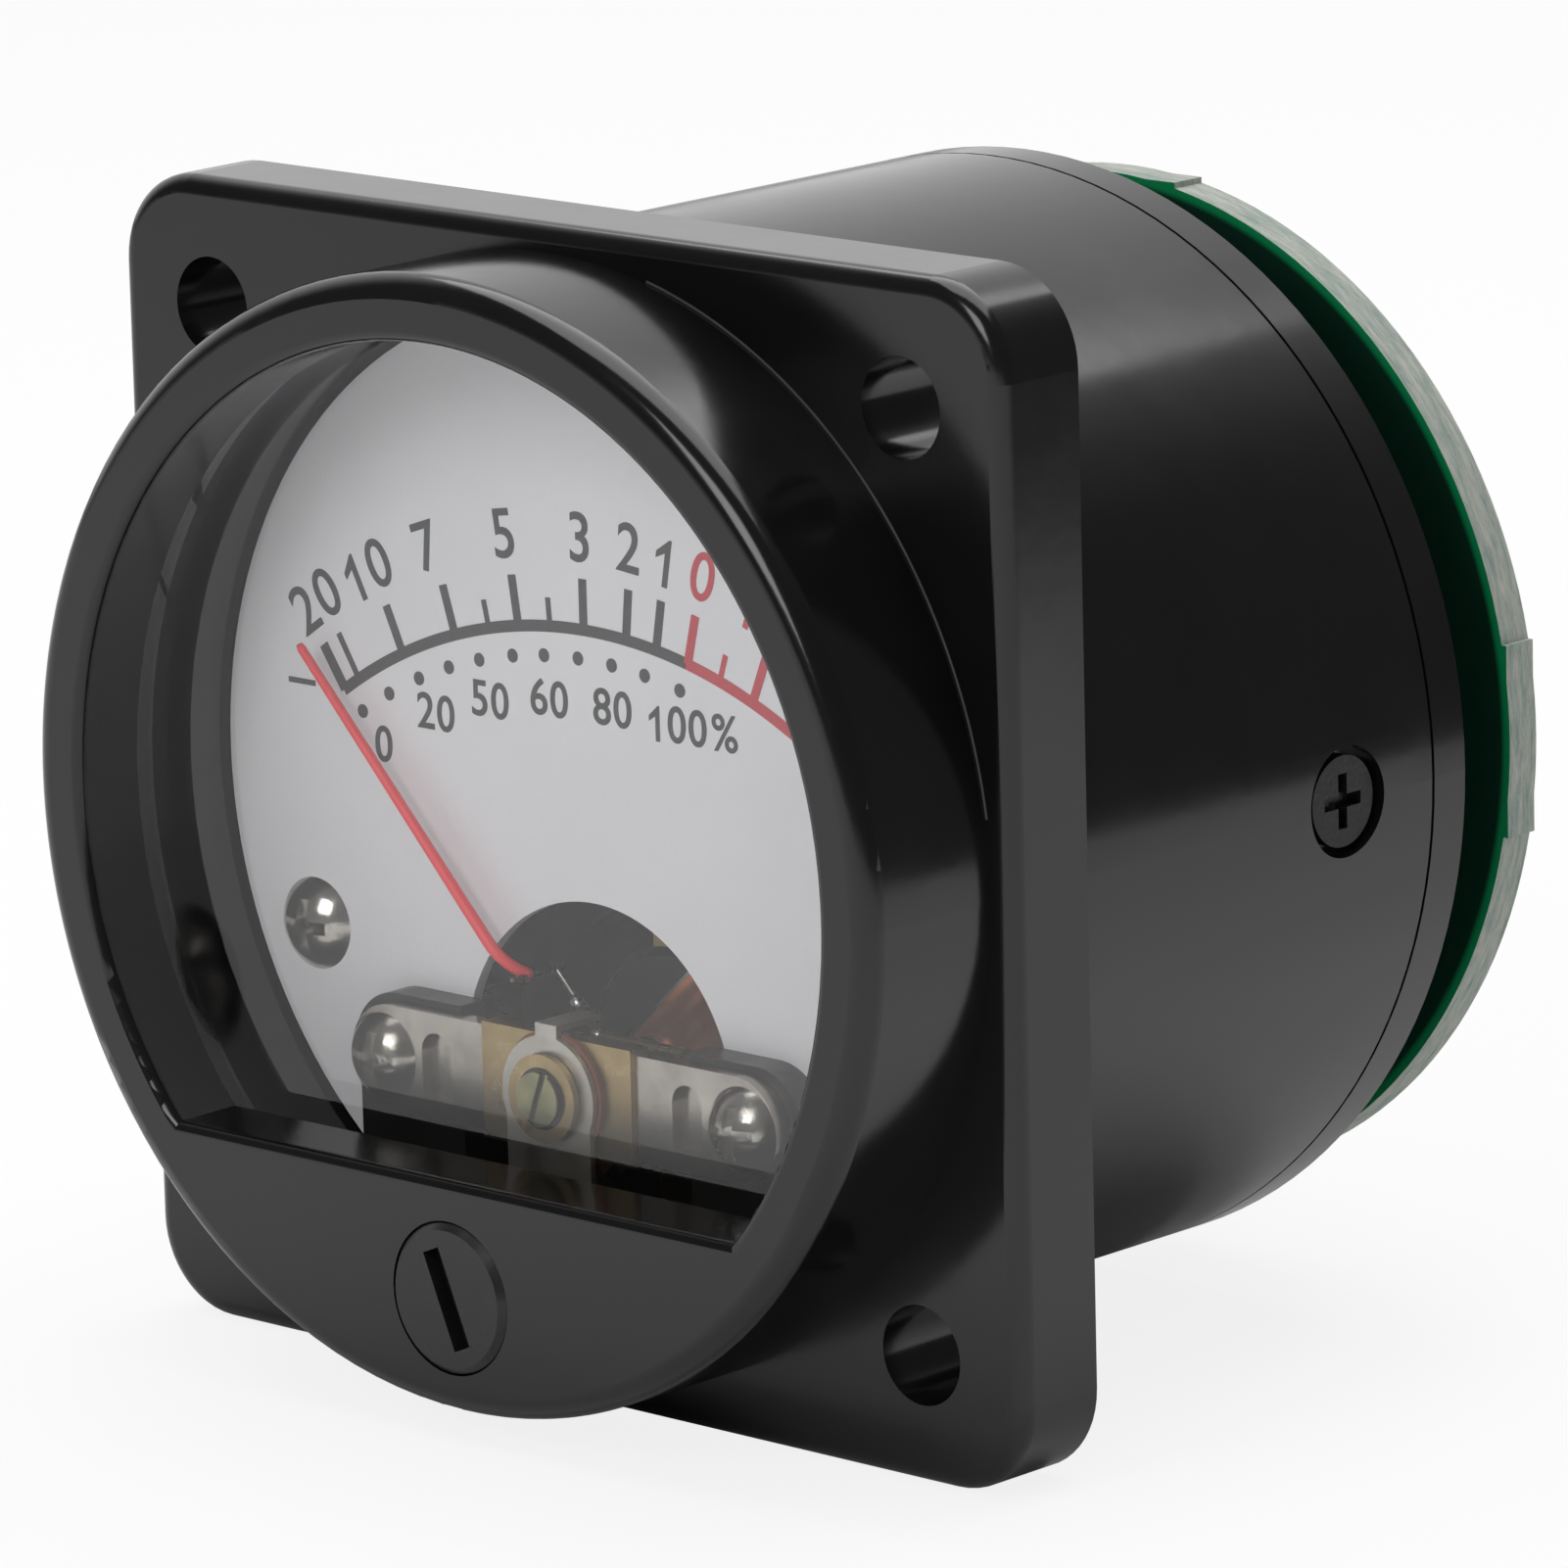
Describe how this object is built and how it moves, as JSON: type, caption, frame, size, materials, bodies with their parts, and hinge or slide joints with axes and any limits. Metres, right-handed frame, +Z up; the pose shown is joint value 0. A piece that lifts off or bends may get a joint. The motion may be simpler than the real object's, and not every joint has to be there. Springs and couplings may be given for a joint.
{
  "type": "panel meter",
  "caption": "Round moving-coil level meter on a square flange, with a printed dial, red pointer, zero adjuster, plugged-in rear base and a circuit board on two terminals.",
  "frame": {"origin": "centre of the square flange's rear face, on the barrel's axis", "axes": "+Y along the barrel towards the rear, so the dial faces -Y; +Z up; +X to the right seen from the front"},
  "size_m": [0.045, 0.0474, 0.045],
  "materials": {
    "black_moulding": "glossy moulded",
    "clear_window": "clear, polished",
    "dial_enamel": "matt white enamel with print",
    "nickel_plate": "bright nickel plate",
    "brass": "bare brass",
    "spring_bronze": "rolled spring bronze",
    "black_spacer": "moulded",
    "fibre": "vulcanised fibre",
    "copper_wire": "enamelled copper",
    "aluminium": "plain",
    "pivot_steel": "polished",
    "red_paint": "matt red",
    "magnet_alloy": "ground",
    "soft_iron": "plated",
    "zinc_steel": "zinc plate",
    "black_screw": "black oxide",
    "green_board": "green solder mask",
    "led_resin": "clear resin",
    "component_body": "moulded"
  },
  "bodies": {
    "case": {"front_housing": "black_moulding", "window_lens": "clear_window", "dial_plate": "dial_enamel", "dial_screws": "nickel_plate", "front_bridge": "nickel_plate", "bridge_saddle": "brass", "bridge_spacers": "black_spacer", "bridge_screws": "nickel_plate", "bridge_posts": "brass", "insulating_washer": "fibre", "jewel_lock_nut": "brass", "front_jewel_screw": "brass", "rear_base": "black_moulding", "case_screws": "black_screw", "core_magnet": "magnet_alloy", "core_wedges": "brass", "yoke_ring": "soft_iron", "movement_frame": "aluminium", "rear_bridge": "brass", "rear_bridge_screws": "zinc_steel", "rear_jewel_screw": "brass", "rear_hair_spring": "spring_bronze", "rear_spring_stud": "brass", "terminal_studs": "zinc_steel", "stud_spacers": "zinc_steel", "terminal_washers": "zinc_steel", "terminal_nuts": "zinc_steel", "circuit_board": "green_board", "backlight_led": "led_resin", "rectifier_bridge": "component_body", "board_capacitor": "aluminium", "board_resistors": "component_body"},
    "adjuster": {"zero_adjuster": "black_moulding", "adjuster_clip": "zinc_steel"},
    "zero_lever": {"zero_arm": "nickel_plate", "front_hair_spring": "spring_bronze"},
    "coil": {"coil_former": "aluminium", "coil_winding": "copper_wire", "front_pivot": "pivot_steel", "rear_pivot": "pivot_steel", "pointer_hub": "aluminium", "front_spring_collet": "brass", "rear_spring_collet": "brass", "pointer": "red_paint", "pointer_arm": "pivot_steel", "balance_arms": "brass", "balance_weights": "brass"}
  },
  "joints": [
    {"name": "adjuster_turn", "type": "hinge", "parent": "case", "child": "adjuster", "pos_m": [0, -0.009, -0.017], "axis": [0, 1, 0], "range_deg": [-40, 40]},
    {"name": "arm_turn", "type": "hinge", "parent": "case", "child": "zero_lever", "pos_m": [0, -0.005, -0.0104], "axis": [0, 1, 0], "range_deg": [-6, 6]},
    {"name": "pointer_swing", "type": "hinge", "parent": "zero_lever", "child": "coil", "pos_m": [0, 0.004, -0.0104], "axis": [0, 1, 0], "range_deg": [-2.5, 89], "stiffness_Nm_per_rad": 0.000004}
  ],
  "couplings": [
    {"joint": "arm_turn", "follows": "adjuster_turn", "ratio": -0.145}
  ]
}
